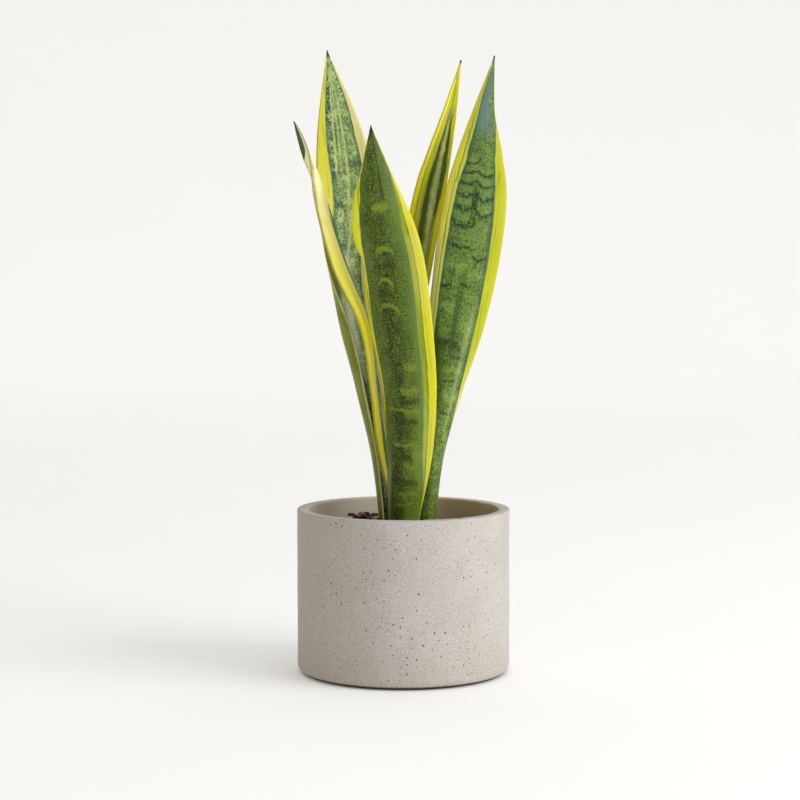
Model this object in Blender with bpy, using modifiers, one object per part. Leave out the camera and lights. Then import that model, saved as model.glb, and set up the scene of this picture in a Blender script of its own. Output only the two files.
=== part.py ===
"""Potted snake plant: five stiff leaves on a rhizome, in potting soil, in a round concrete pot.

Metres, +Z up. The origin is the centre of the pot's underside. -Y is the front.
"""

import math

import bmesh
import bpy
import numpy as np

OBJECT_NAME = "potted_snake_plant"

# Pot
POT_RADIUS = 0.075
POT_HEIGHT = 0.116
POT_WALL = 0.0078
POT_FLOOR = 0.010
POT_FOOT_ROUND = 0.0065
POT_LIP_ROUND = 0.0010
POT_INNER_ROUND = 0.006
POT_STEPS = 48
FOOT_ARC_STEPS = 5
INNER_ARC_STEPS = 3
LIP_ARC_STEPS = 2

# Gap between touching pieces, and the distance under which points are one
GAP = 0.0003
MERGE_DISTANCE = 0.00001

# Soil: a level top with a crumbly heap beside the leaves
SOIL_LEVEL = 0.099
SOIL_HEAP_CENTRE = (-0.027, 0.004)
SOIL_HEAP_SPREAD = (0.012, 0.015)
SOIL_HEAP_HEIGHT = 0.0112
SOIL_LUMP_HEIGHT = 0.0007
SOIL_LUMP_WAVE = 420.0
SOIL_RINGS = 9
SOIL_STEPS = 40

# Rhizome: the thick underground stem that carries the leaves
RHIZOME_RADIUS = 0.0075
RHIZOME_TOP = 0.0735
RHIZOME_ROUTE = (
    (0.024, 0.011),
    (0.018, 0.000),
    (0.006, -0.009),
    (-0.006, -0.004),
    (-0.013, 0.009),
    (-0.006, 0.020),
    (0.010, 0.022),
)
RHIZOME_ROUTE_ORDER = 4
RHIZOME_ROUTE_RESOLUTION = 4
RHIZOME_ROUND_RESOLUTION = 3

# Leaves
LEAF_FOOT = RHIZOME_TOP + GAP
LEAF_THICKNESS = 0.0024
LEAF_EDGE_SHARE = 0.45
LEAF_ACROSS = 8
LEAF_ALONG = 26
LEAF_TIP_HALF_WIDTH = 0.0005
LEAF_TIP_TAPER_SHARE = 1.0 / 6.0
LEAF_TANGENT_STEP = 0.004
LEAF_FLATTEST_CURL = 0.01

# Each leaf is a list of stations from foot to tip, in millimetres and degrees:
# height, x, y, half width of the flattened blade, facing, curl.
# Facing is the heading of the blade's inner face: 0 is the front, 90 is +X.
# Curl is how far each edge bends round towards the inner face.
LEAVES = {
    "leaf_front_centre": (
        (74, -1, -8, 9, 165, 75),
        (110, -1.5, -12, 14.5, 165, 72),
        (155, 2, -15, 19, 164, 55),
        (200, 3, -17, 20.5, 166, 40),
        (245, -2, -19, 22.5, 170, 30),
        (290, -7, -21, 21.5, 176, 22),
        (320, -15, -23, 20, 180, 18),
        (350, -19, -26, 11, 184, 18),
        (383, -22.5, -31, 0, 186, 18),
    ),
    "leaf_right_tall": (
        (74, 14, 2, 8, 205, 75),
        (110, 17, 0, 10.5, 200, 75),
        (155, 21.5, 1, 11.5, 196, 65),
        (200, 29, 4, 16, 192, 45),
        (245, 38, 7, 21, 190, 30),
        (290, 45.5, 9, 23.5, 188, 22),
        (335, 51.5, 10, 22.5, 186, 20),
        (365, 54, 8, 16.5, 184, 25),
        (395, 56.5, 5, 8, 180, 30),
        (433, 63.5, -1, 0, 175, 30),
    ),
    "leaf_back_right_narrow": (
        (74, 8, 18, 7, -5, 60),
        (110, 9, 22, 10, -8, 70),
        (170, 7, 27, 12, -20, 75),
        (230, 6, 31, 14, -28, 75),
        (290, 12.5, 34, 15, -20, 70),
        (336, 19, 37, 13.5, -6, 62),
        (366, 25.5, 40, 10, 0, 58),
        (396, 33, 43, 5.5, 4, 50),
        (434, 41.5, 47, 0, 6, 40),
    ),
    "leaf_back_left_tall": (
        (74, -12, 12, 9, 62, 65),
        (110, -15, 12, 13, 60, 70),
        (155, -20.5, 18, 15, 56, 66),
        (200, -28.5, 22, 18, 50, 60),
        (245, -37, 26, 20, 42, 50),
        (290, -42, 29, 21.5, 28, 38),
        (335, -42, 31, 21.5, 10, 24),
        (365, -43.5, 32, 19, 4, 16),
        (396, -47.5, 33, 13, 0, 12),
        (440, -54.5, 34, 0, 0, 10),
    ),
    "leaf_left_edge_on": (
        (74, -6, 8, 5, 80, 40),
        (110, -8, 8, 6.5, 84, 30),
        (155, -14.5, 7, 9.5, 84, 5),
        (200, -19.5, 6, 13, 84, -15),
        (245, -24.5, 4, 16, 83, -30),
        (290, -42.5, 2, 17, 80, -35),
        (335, -55.5, -2, 14, 75, -30),
        (360, -64.5, -6, 9, 95, -15),
        (387, -76, -9, 0, 122, 0),
    ),
}

# Bark chips on the heap: x, y, heading in degrees, length
BARK_CHIPS = (
    (-0.031, -0.004, 20.0, 0.0080),
    (-0.022, -0.007, -35.0, 0.0070),
    (-0.037, 0.008, 70.0, 0.0065),
    (-0.028, 0.010, -10.0, 0.0075),
    (-0.020, 0.003, 55.0, 0.0055),
)
CHIP_WIDTH_SHARE = 0.55
CHIP_THICKNESS = 0.0020
CHIP_BEVEL = 0.0005
CHIP_REST_SAMPLES = 16

# Materials: colour and roughness
CONCRETE = ((0.52, 0.48, 0.44), 0.85)
SOIL = ((0.06, 0.035, 0.022), 0.95)
RHIZOME = ((0.55, 0.36, 0.17), 0.7)
LEAF_GREEN = ((0.13, 0.24, 0.06), 0.45)
BARK = ((0.24, 0.12, 0.07), 0.9)


def clear_scene():
    for old in list(bpy.data.objects):
        bpy.data.objects.remove(old, do_unlink=True)


def make_collection(name):
    collection = bpy.data.collections.new(name)
    bpy.context.scene.collection.children.link(collection)
    return collection


def make_material(name, colour, roughness):
    material = bpy.data.materials.new(name)
    material.use_nodes = True
    shader = material.node_tree.nodes["Principled BSDF"]
    shader.inputs["Base Color"].default_value = (*colour, 1.0)
    shader.inputs["Roughness"].default_value = roughness
    shader.inputs["Metallic"].default_value = 0.0
    return material


def add_object(name, mesh, collection, material=None):
    obj = bpy.data.objects.new(name, mesh)
    collection.objects.link(obj)
    if material:
        mesh.materials.append(material)
    return obj


def bake_modifiers(obj):
    """Replace an object's mesh by its evaluated mesh and drop its modifiers."""
    graph = bpy.context.evaluated_depsgraph_get()
    mesh = bpy.data.meshes.new_from_object(obj.evaluated_get(graph))
    obj.modifiers.clear()
    obj.data = mesh


def arc(centre, radius, start, end, steps):
    """Points in the XZ plane on an arc, angles in degrees from +X."""
    angles = np.radians(np.linspace(start, end, steps + 1))
    return [(centre[0] + radius * math.cos(a), centre[1] + radius * math.sin(a)) for a in angles]


def turned(name, profile, steps, collection, material):
    """Turn a profile of (radius, height) points about Z with a Screw modifier."""
    mesh = bpy.data.meshes.new(name)
    points = [(r, 0.0, z) for r, z in profile]
    edges = [(i, i + 1) for i in range(len(points) - 1)]
    mesh.from_pydata(points, edges, [])
    obj = add_object(name, mesh, collection, material)
    screw = obj.modifiers.new("turn", "SCREW")
    screw.steps = steps
    screw.render_steps = steps
    screw.use_merge_vertices = True
    screw.merge_threshold = MERGE_DISTANCE
    screw.use_smooth_shade = True
    return obj


def make_pot(collection):
    """A straight thick-walled cup with a rounded foot and softly rounded lip edges."""
    inner = POT_RADIUS - POT_WALL
    profile = [(0.0, POT_FLOOR)]
    lip = POT_HEIGHT - POT_LIP_ROUND
    bottom_corner = (inner - POT_INNER_ROUND, POT_FLOOR + POT_INNER_ROUND)
    foot = (POT_RADIUS - POT_FOOT_ROUND, POT_FOOT_ROUND)
    profile += arc(bottom_corner, POT_INNER_ROUND, -90, 0, INNER_ARC_STEPS)
    profile += arc((inner + POT_LIP_ROUND, lip), POT_LIP_ROUND, 180, 90, LIP_ARC_STEPS)
    profile += arc((POT_RADIUS - POT_LIP_ROUND, lip), POT_LIP_ROUND, 90, 0, LIP_ARC_STEPS)
    profile += arc(foot, POT_FOOT_ROUND, 0, -90, FOOT_ARC_STEPS)
    profile += [(0.0, 0.0)]
    material = make_material("concrete", *CONCRETE)
    return turned("pot", profile, POT_STEPS, collection, material)


def soil_height(x, y):
    """Height of the soil's surface: level, with a heap and small lumps."""
    dx = (x - SOIL_HEAP_CENTRE[0]) / SOIL_HEAP_SPREAD[0]
    dy = (y - SOIL_HEAP_CENTRE[1]) / SOIL_HEAP_SPREAD[1]
    heap = SOIL_HEAP_HEIGHT * math.exp(-0.5 * (dx * dx + dy * dy))
    lumps = SOIL_LUMP_HEIGHT * math.sin(SOIL_LUMP_WAVE * x) * math.cos(SOIL_LUMP_WAVE * y)
    return SOIL_LEVEL + heap + lumps


def make_soil(collection):
    """A plug that fills the pot, with its top raised to the soil's surface."""
    radius = POT_RADIUS - POT_WALL - GAP
    bottom = POT_FLOOR + GAP
    profile = [(radius * i / SOIL_RINGS, SOIL_LEVEL) for i in range(SOIL_RINGS + 1)]
    corner = (radius - POT_INNER_ROUND, bottom + POT_INNER_ROUND)
    profile += arc(corner, POT_INNER_ROUND, 0, -90, INNER_ARC_STEPS)
    profile += [(0.0, bottom)]
    material = make_material("soil", *SOIL)
    soil = turned("potting_soil", profile, SOIL_STEPS, collection, material)
    bake_modifiers(soil)
    plug = bmesh.new()
    plug.from_mesh(soil.data)
    for vertex in plug.verts:
        if abs(vertex.co.z - SOIL_LEVEL) < GAP:
            vertex.co.z = soil_height(vertex.co.x, vertex.co.y)
    bmesh.ops.triangulate(plug, faces=plug.faces)
    plug.to_mesh(soil.data)
    plug.free()
    return soil


def make_rhizome(name, radius, collection, material=None):
    """A thick stem lying under the leaves, as a tube with closed ends."""
    curve = bpy.data.curves.new(name, "CURVE")
    curve.dimensions = "3D"
    curve.bevel_depth = radius
    curve.bevel_resolution = RHIZOME_ROUND_RESOLUTION
    curve.resolution_u = RHIZOME_ROUTE_RESOLUTION
    curve.use_fill_caps = True
    spline = curve.splines.new("NURBS")
    spline.points.add(len(RHIZOME_ROUTE) - 1)
    for point, (x, y) in zip(spline.points, RHIZOME_ROUTE):
        point.co = (x, y, RHIZOME_TOP - RHIZOME_RADIUS, 1.0)
    spline.order_u = RHIZOME_ROUTE_ORDER
    spline.use_endpoint_u = True
    tube = bpy.data.objects.new(name + "_tube", curve)
    collection.objects.link(tube)
    graph = bpy.context.evaluated_depsgraph_get()
    mesh = bpy.data.meshes.new_from_object(tube.evaluated_get(graph))
    bpy.data.objects.remove(tube, do_unlink=True)
    body = bmesh.new()
    body.from_mesh(mesh)
    bmesh.ops.remove_doubles(body, verts=body.verts, dist=MERGE_DISTANCE)
    bmesh.ops.recalc_face_normals(body, faces=body.faces)
    body.to_mesh(mesh)
    body.free()
    return add_object(name, mesh, collection, material)


def spline_through(stations, t):
    """A smooth curve through evenly numbered stations, at t from 0 to 1."""
    last = len(stations) - 1
    place = min(max(t, 0.0), 1.0) * last
    i = min(int(place), last - 1)
    f = place - i
    before = stations[max(i - 1, 0)]
    start = stations[i]
    end = stations[i + 1]
    after = stations[min(i + 2, last)]
    slope_start = (end - before) / 2.0
    slope_end = (after - start) / 2.0
    return (
        (2 * f**3 - 3 * f**2 + 1) * start
        + (f**3 - 2 * f**2 + f) * slope_start
        + (-2 * f**3 + 3 * f**2) * end
        + (f**3 - f**2) * slope_end
    )


def leaf_table(stations):
    """The stations in metres and radians: x, y, z, half width, facing, curl."""
    rows = []
    for height, x, y, half_width, facing, curl in stations:
        size = [x * 0.001, y * 0.001, height * 0.001, half_width * 0.001]
        rows.append(size + [math.radians(facing), math.radians(curl)])
    rows[0][2] = LEAF_FOOT
    return np.array(rows)


def leaf_point(table, across, t, widen):
    """A point of the leaf's middle surface: across from -1 to 1, t from foot to tip."""
    x, y, z, half_width, facing, curl = spline_through(table, t)
    half_width = max(half_width, LEAF_TIP_HALF_WIDTH) + widen
    step = LEAF_TANGENT_STEP
    tangent = spline_through(table, t + step)[:3] - spline_through(table, t - step)[:3]
    tangent = tangent / np.linalg.norm(tangent)
    inner = np.array((math.sin(facing), -math.cos(facing), 0.0))
    side = np.cross(tangent, inner)
    side = side / np.linalg.norm(side)
    inner = np.cross(side, tangent)
    bend = curl if abs(curl) > LEAF_FLATTEST_CURL else LEAF_FLATTEST_CURL
    sideways = half_width * math.sin(bend * across) / bend
    inwards = half_width * (1.0 - math.cos(bend * across)) / bend
    return np.array((x, y, z)) + side * sideways + inner * inwards


def thin_the_edges(leaf, solidify, places):
    """Weigh each vertex by how full the leaf is there: thin at the edges and the tip."""
    body = leaf.vertex_groups.new(name="body")
    for index, (across, t) in enumerate(places):
        middle = math.sqrt(max(0.0, 1.0 - across * across))
        fullness = middle * min(1.0, (1.0 - t) / LEAF_TIP_TAPER_SHARE)
        body.add([index], fullness, "REPLACE")
    solidify.vertex_group = "body"
    solidify.thickness_vertex_group = LEAF_EDGE_SHARE


def make_leaf(name, stations, collection, material=None, clearance=0.0):
    """A grid bent to the leaf's shape, thick in the middle and thin at its edges and tip."""
    table = leaf_table(stations)
    sheet = bmesh.new()
    bmesh.ops.create_grid(sheet, x_segments=LEAF_ACROSS, y_segments=LEAF_ALONG, size=1.0)
    mesh = bpy.data.meshes.new(name)
    places = [(v.co.x, (v.co.y + 1.0) / 2.0) for v in sheet.verts]
    for vertex, (across, t) in zip(sheet.verts, places):
        vertex.co = leaf_point(table, across, t, clearance)
        if clearance:
            vertex.co.z -= clearance * (1.0 - t)
    sheet.to_mesh(mesh)
    sheet.free()
    leaf = add_object(name, mesh, collection, material)
    solidify = leaf.modifiers.new("thickness", "SOLIDIFY")
    solidify.thickness = LEAF_THICKNESS + 2.0 * clearance
    solidify.offset = 0.0
    solidify.use_even_offset = False
    if not clearance:
        thin_the_edges(leaf, solidify, places)
    return leaf


def cut(target, cutter):
    difference = target.modifiers.new("cut_" + cutter.name, "BOOLEAN")
    difference.operation = "DIFFERENCE"
    difference.solver = "EXACT"
    difference.object = cutter


def make_chip(name, place, collection, material):
    """A flat bark chip lying on the heap."""
    x, y, heading, length = place
    width = length * CHIP_WIDTH_SHARE
    reach = length / 2.0
    under = max(
        soil_height(x + reach * math.cos(a), y + reach * math.sin(a))
        for a in np.linspace(0.0, 2.0 * math.pi, CHIP_REST_SAMPLES)
    )
    under = max(under, soil_height(x, y))
    chip = bmesh.new()
    bmesh.ops.create_cube(chip, size=1.0)
    bmesh.ops.scale(chip, verts=chip.verts, vec=(length, width, CHIP_THICKNESS))
    mesh = bpy.data.meshes.new(name)
    chip.to_mesh(mesh)
    chip.free()
    obj = add_object(name, mesh, collection, material)
    obj.location = (x, y, under + GAP + CHIP_THICKNESS / 2.0)
    obj.rotation_euler = (0.0, 0.0, math.radians(heading))
    bevel = obj.modifiers.new("worn_edges", "BEVEL")
    bevel.width = CHIP_BEVEL
    bevel.segments = 1
    return obj


def hide_cutter(obj):
    obj.hide_render = True
    obj.display_type = "WIRE"


def main():
    clear_scene()
    parts = make_collection(OBJECT_NAME)
    cutters = make_collection("cutters")
    make_pot(parts)
    soil = make_soil(parts)
    rhizome_material = make_material("rhizome", *RHIZOME)
    make_rhizome("rhizome", RHIZOME_RADIUS, parts, rhizome_material)
    hollow = make_rhizome("rhizome_hollow", RHIZOME_RADIUS + GAP, cutters)
    hide_cutter(hollow)
    cut(soil, hollow)
    for name, stations in LEAVES.items():
        green = make_material(name + "_green", *LEAF_GREEN)
        make_leaf(name, stations, parts, green)
        slot = make_leaf(name + "_slot", stations, cutters, clearance=GAP)
        hide_cutter(slot)
        cut(soil, slot)
    for number, place in enumerate(BARK_CHIPS, start=1):
        bark = make_material(f"bark_{number}", *BARK)
        make_chip(f"bark_chip_{number}", place, parts, bark)


main()
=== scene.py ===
# %% [markdown]
# # A potted snake plant
#
# Five stiff leaves stand in a round concrete pot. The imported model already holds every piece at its
# real size, and this lesson gives each one its finish: cast concrete with air holes, crumbly soil,
# and waxy leaves with green patterns and yellow margins. Everything is in metres, with +Z up, and
# the front is towards -Y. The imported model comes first, because every place below is taken from it.

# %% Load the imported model
import math
import random

import bmesh
import bpy
import numpy as np
from mathutils import Matrix, Vector, noise


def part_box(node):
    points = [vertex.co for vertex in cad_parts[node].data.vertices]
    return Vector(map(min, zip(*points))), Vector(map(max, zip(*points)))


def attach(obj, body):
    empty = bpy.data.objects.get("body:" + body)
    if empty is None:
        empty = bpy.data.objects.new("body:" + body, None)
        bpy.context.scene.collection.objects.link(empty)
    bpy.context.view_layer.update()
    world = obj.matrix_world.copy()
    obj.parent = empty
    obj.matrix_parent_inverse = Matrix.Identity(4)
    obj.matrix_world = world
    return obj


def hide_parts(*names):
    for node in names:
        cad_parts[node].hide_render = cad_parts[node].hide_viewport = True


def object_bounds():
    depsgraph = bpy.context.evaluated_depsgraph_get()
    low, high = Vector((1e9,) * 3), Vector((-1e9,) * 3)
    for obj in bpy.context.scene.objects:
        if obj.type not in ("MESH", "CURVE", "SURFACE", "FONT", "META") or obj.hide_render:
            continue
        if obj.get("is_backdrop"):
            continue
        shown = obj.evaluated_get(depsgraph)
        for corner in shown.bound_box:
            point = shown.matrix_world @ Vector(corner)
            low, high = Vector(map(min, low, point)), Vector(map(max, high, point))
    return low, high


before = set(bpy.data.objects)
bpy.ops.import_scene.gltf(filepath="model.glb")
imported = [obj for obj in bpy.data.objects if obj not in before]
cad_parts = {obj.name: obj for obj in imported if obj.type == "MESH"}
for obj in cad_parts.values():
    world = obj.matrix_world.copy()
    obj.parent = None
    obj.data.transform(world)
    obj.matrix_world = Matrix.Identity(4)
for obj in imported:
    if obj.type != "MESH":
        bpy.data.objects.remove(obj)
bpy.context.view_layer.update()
MM = 0.001
print("nodes:", sorted(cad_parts))

# %% [markdown]
# ## Short ways to build a material
#
# A procedural material is a graph of nodes. Writing every node out takes many lines, so this small
# class adds a node, joins its inputs and hands back its output. An input can be a number, a colour
# or the output of another node. Colours are given as people read them on a screen, from 0 to 255,
# and changed to the linear values that a shader works in.


# %% Screen colours
def shade(red, green, blue):
    """A screen colour as a linear colour with full alpha."""
    linear = []
    for value in (red, green, blue):
        share = value / 255.0
        linear.append(share / 12.92 if share <= 0.04045 else ((share + 0.055) / 1.055) ** 2.4)
    return (*linear, 1.0)


print("the middle screen grey is", round(shade(128, 128, 128)[0], 3), "in linear light")


# %% Material helper
class Finish:
    """One material, with short ways to add nodes to it."""

    def __init__(self, name, roughness, specular=0.5):
        self.material = bpy.data.materials.new(name)
        self.material.use_nodes = True
        self.tree = self.material.node_tree
        self.shader = self.tree.nodes["Principled BSDF"]
        self.shader.inputs["Roughness"].default_value = roughness
        self.shader.inputs["Specular IOR Level"].default_value = specular

    def join(self, value, socket):
        if isinstance(value, bpy.types.NodeSocket):
            self.tree.links.new(value, socket)
        else:
            socket.default_value = value

    def node(self, kind, inputs=None, **settings):
        made = self.tree.nodes.new("ShaderNode" + kind)
        for name, value in settings.items():
            setattr(made, name, value)
        for key, value in (inputs or {}).items():
            self.join(value, made.inputs[key])
        return made

    def math(self, operation, first, second=0.0, third=0.0):
        made = self.node("Math", {0: first, 1: second, 2: third}, operation=operation)
        return made.outputs[0]

    def times(self, first, second):
        return self.math("MULTIPLY", first, second)

    def step(self, value, low, high, to_low=0.0, to_high=1.0):
        """A soft step: to_low under low, to_high over high."""
        inputs = {"Value": value, "From Min": low, "From Max": high, "To Min": to_low, "To Max": to_high}
        made = self.node("MapRange", inputs, interpolation_type="SMOOTHSTEP")
        return made.outputs["Result"]

    def near(self, value, centre, reach):
        """1 at the centre, falling softly to 0 at the reach on either side."""
        away = self.math("ABSOLUTE", self.math("SUBTRACT", value, centre))
        return self.step(away, 0.0, reach, 1.0, 0.0)

    def mix(self, share, first, second):
        made = self.node("Mix", {"Factor": share}, data_type="RGBA")
        self.join(first, made.inputs[6])
        self.join(second, made.inputs[7])
        return made.outputs[2]

    def scaled(self, vector, size, shift=(0.0, 0.0, 0.0)):
        made = self.node("VectorMath", {0: vector, 1: size, 2: shift}, operation="MULTIPLY_ADD")
        return made.outputs[0]

    def split(self, vector):
        made = self.node("SeparateXYZ", {0: vector})
        return made.outputs[0], made.outputs[1], made.outputs[2]

    def noise(self, vector, scale, detail=2.0, roughness=0.5, warp=0.0):
        inputs = {"Vector": vector, "Scale": scale, "Detail": detail, "Roughness": roughness}
        made = self.node("TexNoise", {**inputs, "Distortion": warp})
        return made.outputs["Fac"]

    def cells(self, vector, scale, feature="F1"):
        made = self.node("TexVoronoi", {"Vector": vector, "Scale": scale}, feature=feature)
        return made.outputs["Distance"]

    def attribute(self, name):
        return self.node("Attribute", attribute_name=name).outputs["Fac"]

    def place(self):
        """Object coordinates in millimetres."""
        spot = self.node("TexCoord").outputs["Object"]
        return self.scaled(spot, (1000.0, 1000.0, 1000.0))

    def bump(self, height, distance, strength=1.0, under=None):
        inputs = {"Height": height, "Distance": distance, "Strength": strength}
        made = self.node("Bump", inputs)
        if under is not None:
            self.join(under, made.inputs["Normal"])
        return made.outputs["Normal"]

    def done(self, colour, normal=None, rough=None):
        self.join(colour, self.shader.inputs["Base Color"])
        if normal is not None:
            self.join(normal, self.shader.inputs["Normal"])
        if rough is not None:
            self.join(rough, self.shader.inputs["Roughness"])
        print("finish", self.material.name, "with", len(self.tree.nodes), "nodes")
        return self.material


# %% Piece helpers
def add_piece(name, body, material):
    """Make an object from a bmesh, shade it smooth and give it its material."""
    mesh = bpy.data.meshes.new(name)
    body.to_mesh(mesh)
    body.free()
    mesh.materials.append(material)
    mesh.shade_smooth()
    piece = bpy.data.objects.new(name, mesh)
    bpy.context.scene.collection.objects.link(piece)
    print("piece", name, "with", len(mesh.polygons), "faces")
    return piece


def belongs(piece, slot, *nodes):
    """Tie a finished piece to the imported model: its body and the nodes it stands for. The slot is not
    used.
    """
    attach(piece, "root")
    if nodes:
        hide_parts(*nodes)


# %% [markdown]
# ## Camera
#
# A long lens from a little above the pot keeps the upright leaves straight and shows a thin ellipse
# of the rim. The camera stands in front of the pot and looks slightly down.

# %% Camera
CAMERA_AWAY = 1.5
CAMERA_HEIGHT = 0.299
CAMERA_SIDE = -0.0024
CAMERA_DOWN = math.radians(4.06)
CAMERA_LENS = 96.0
CAMERA_SENSOR = 36.0

lens = bpy.data.cameras.new("camera")
lens.lens = CAMERA_LENS
lens.sensor_width = CAMERA_SENSOR
camera = bpy.data.objects.new("camera", lens)
camera.location = (CAMERA_SIDE, -CAMERA_AWAY, CAMERA_HEIGHT)
camera.rotation_euler = (math.pi / 2.0 - CAMERA_DOWN, 0.0, 0.0)
bpy.context.scene.collection.objects.link(camera)
bpy.context.scene.camera = camera
bpy.context.scene.view_settings.view_transform = "Standard"
print("camera", round(CAMERA_AWAY, 2), "m in front, lens", CAMERA_LENS, "mm")

# %% [markdown]
# ## Backdrop and light
#
# The set is one pale sheet, as in a photo studio: it lies flat under the pot and curves up far behind
# it, so there is no corner and the pot can be looked at from every side. It glows very faintly, more so
# further back, which keeps the shadow light. A very wide soft lamp at the right gives the pot its bright
# side, and a surround that is dimmer and warmer at the left fills the rest. None of this is part of the
# object.

# %% Backdrop
SHEET_FRONT = -7.0
SHEET_BEND = 3.0
BEND_RADIUS = 2.5
SHEET_TOP = 7.0
SHEET_HALF_WIDTH = 9.0
BEND_STEPS = 24
NEAR_GLOW = (0.150, 0.146, 0.138, 1.0)
FAR_GLOW = (0.275, 0.272, 0.266, 1.0)
GLOW_NEAR_MM, GLOW_FAR_MM = 300.0, 4500.0
SHEET_WHITE = shade(247, 246, 244)
SHEET_GREY = shade(242, 239, 234)
SHEET_CLOUDS = 0.004
SHEET_CLOUD_SHARE = 0.12


def backdrop():
    """A flat sheet that bends up at the back, given to the set and not to the object."""
    finish = Finish("studio_sheet", 0.9, 0.1)
    spot = finish.place()
    farness = finish.step(finish.split(spot)[1], GLOW_NEAR_MM, GLOW_FAR_MM)
    finish.join(finish.mix(farness, NEAR_GLOW, FAR_GLOW), finish.shader.inputs["Emission Color"])
    finish.shader.inputs["Emission Strength"].default_value = 1.0
    clouds = finish.step(finish.noise(spot, SHEET_CLOUDS), 0.3, 0.7, 0.0, SHEET_CLOUD_SHARE)
    tone = finish.mix(clouds, SHEET_WHITE, SHEET_GREY)
    angles = np.radians(np.linspace(-90.0, 0.0, BEND_STEPS + 1))
    line = [(SHEET_FRONT, 0.0)]
    line += [(SHEET_BEND + BEND_RADIUS * math.cos(a), BEND_RADIUS * (1.0 + math.sin(a))) for a in angles]
    line += [(SHEET_BEND + BEND_RADIUS, SHEET_TOP)]
    sheet = bmesh.new()
    verts = [sheet.verts.new((-SHEET_HALF_WIDTH, y, z)) for y, z in line]
    edges = [sheet.edges.new(pair) for pair in zip(verts, verts[1:])]
    made = bmesh.ops.extrude_edge_only(sheet, edges=edges)
    far_side = [item for item in made["geom"] if isinstance(item, bmesh.types.BMVert)]
    bmesh.ops.translate(sheet, verts=far_side, vec=(2.0 * SHEET_HALF_WIDTH, 0.0, 0.0))
    for face in sheet.faces:
        face.normal_update()
        if face.normal.z < 0.0 or face.normal.y > 0.5:
            face.normal_flip()
    add_piece("backdrop", sheet, finish.done(tone))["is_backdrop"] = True


backdrop()

# %% Light
LEFT_SURROUND = (0.13, 0.105, 0.08, 1.0)
RIGHT_SURROUND = (0.37, 0.38, 0.39, 1.0)
OVERHEAD = (0.80, 0.815, 0.83, 1.0)
SIDE_RAMP = (-0.6, 0.8)
UP_RAMP = (0.0, 1.0)
LAMP_TARGET = (0.0, 0.0, 0.2)
KEY_PLACE = (2.55, -1.25, 1.2)
KEY_SIZE = (2.4, 1.8)
KEY_WATTS = 62.0
KEY_COLOUR = (0.99, 0.995, 1.0)


def room_light():
    """A surround that is dim and warm at the left, paler at the right and brightest overhead."""
    world = bpy.data.worlds.new("surround")
    world.use_nodes = True
    tree = world.node_tree
    direction = tree.nodes.new("ShaderNodeTexCoord").outputs["Generated"]
    parts = tree.nodes.new("ShaderNodeSeparateXYZ")
    tree.links.new(direction, parts.inputs[0])
    colour = LEFT_SURROUND
    for part, (start, end), far in ((0, SIDE_RAMP, RIGHT_SURROUND), (2, UP_RAMP, OVERHEAD)):
        ramp = tree.nodes.new("ShaderNodeMapRange")
        ramp.inputs["From Min"].default_value = start
        ramp.inputs["From Max"].default_value = end
        blend = tree.nodes.new("ShaderNodeMix")
        blend.data_type = "RGBA"
        tree.links.new(parts.outputs[part], ramp.inputs["Value"])
        tree.links.new(ramp.outputs["Result"], blend.inputs["Factor"])
        if isinstance(colour, tuple):
            blend.inputs[6].default_value = colour
        else:
            tree.links.new(colour, blend.inputs[6])
        blend.inputs[7].default_value = far
        colour = blend.outputs[2]
    tree.links.new(colour, tree.nodes["Background"].inputs["Color"])
    bpy.context.scene.world = world


def soft_lamp(name, place, target, size, watts, colour):
    """A wide lamp that faces the target; its size makes its shadows soft."""
    lamp = bpy.data.lights.new(name, "AREA")
    lamp.shape = "RECTANGLE"
    lamp.size, lamp.size_y = size
    lamp.energy = watts
    lamp.color = colour
    holder = bpy.data.objects.new(name, lamp)
    holder.location = place
    holder.rotation_euler = (Vector(target) - Vector(place)).to_track_quat("-Z", "Y").to_euler()
    bpy.context.scene.collection.objects.link(holder)
    print("lamp", name, watts, "W")


room_light()
soft_lamp("key_right", KEY_PLACE, LAMP_TARGET, KEY_SIZE, KEY_WATTS, KEY_COLOUR)

# %% [markdown]
# ## Pot
#
# The pot is cast concrete: a straight cup, a rounded foot and a slightly rounded lip. A turned
# profile gives it, but a perfect turning looks like plastic. So the wall is turned fine enough to
# carry very slight waves, the inner lip is nicked as a cast edge is, and single faces are inset and
# pushed in to make the small air holes that stay in concrete.

# %% Pot sizes
pot_low, pot_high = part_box("pot")
POT_RADIUS = (pot_high.x - pot_low.x) / 2.0
POT_HEIGHT = pot_high.z
POT_WALL = 7.8 * MM
POT_FLOOR = 10.0 * MM
POT_FOOT_ROUND = 6.5 * MM
POT_LIP_ROUND = 1.0 * MM
POT_INNER_ROUND = 6.0 * MM
POT_STEPS = 300
WALL_ROW = 1.6 * MM
INNER_ROW = 3.0 * MM
FLOOR_ROW = 12.0 * MM
SMALL_ARC_STEPS = 4
FOOT_ARC_STEPS = 9
MERGE_GAP = 0.02 * MM
print("pot radius", round(POT_RADIUS / MM, 2), "mm, height", round(POT_HEIGHT / MM, 2), "mm")


# %% Turning helper
def arc(centre, radius, start, end, steps):
    """Points on an arc of a profile, from one angle to another in degrees."""
    angles = np.radians(np.linspace(start, end, steps + 1))
    return [(centre[0] + radius * math.cos(a), centre[1] + radius * math.sin(a)) for a in angles]


def run(start, end, row):
    """Points on a straight stretch, about one row apart, without its ends."""
    count = max(1, round(math.dist(start, end) / row))
    shares = [i / count for i in range(1, count)]
    return [(start[0] + (end[0] - start[0]) * s, start[1] + (end[1] - start[1]) * s) for s in shares]


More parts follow.
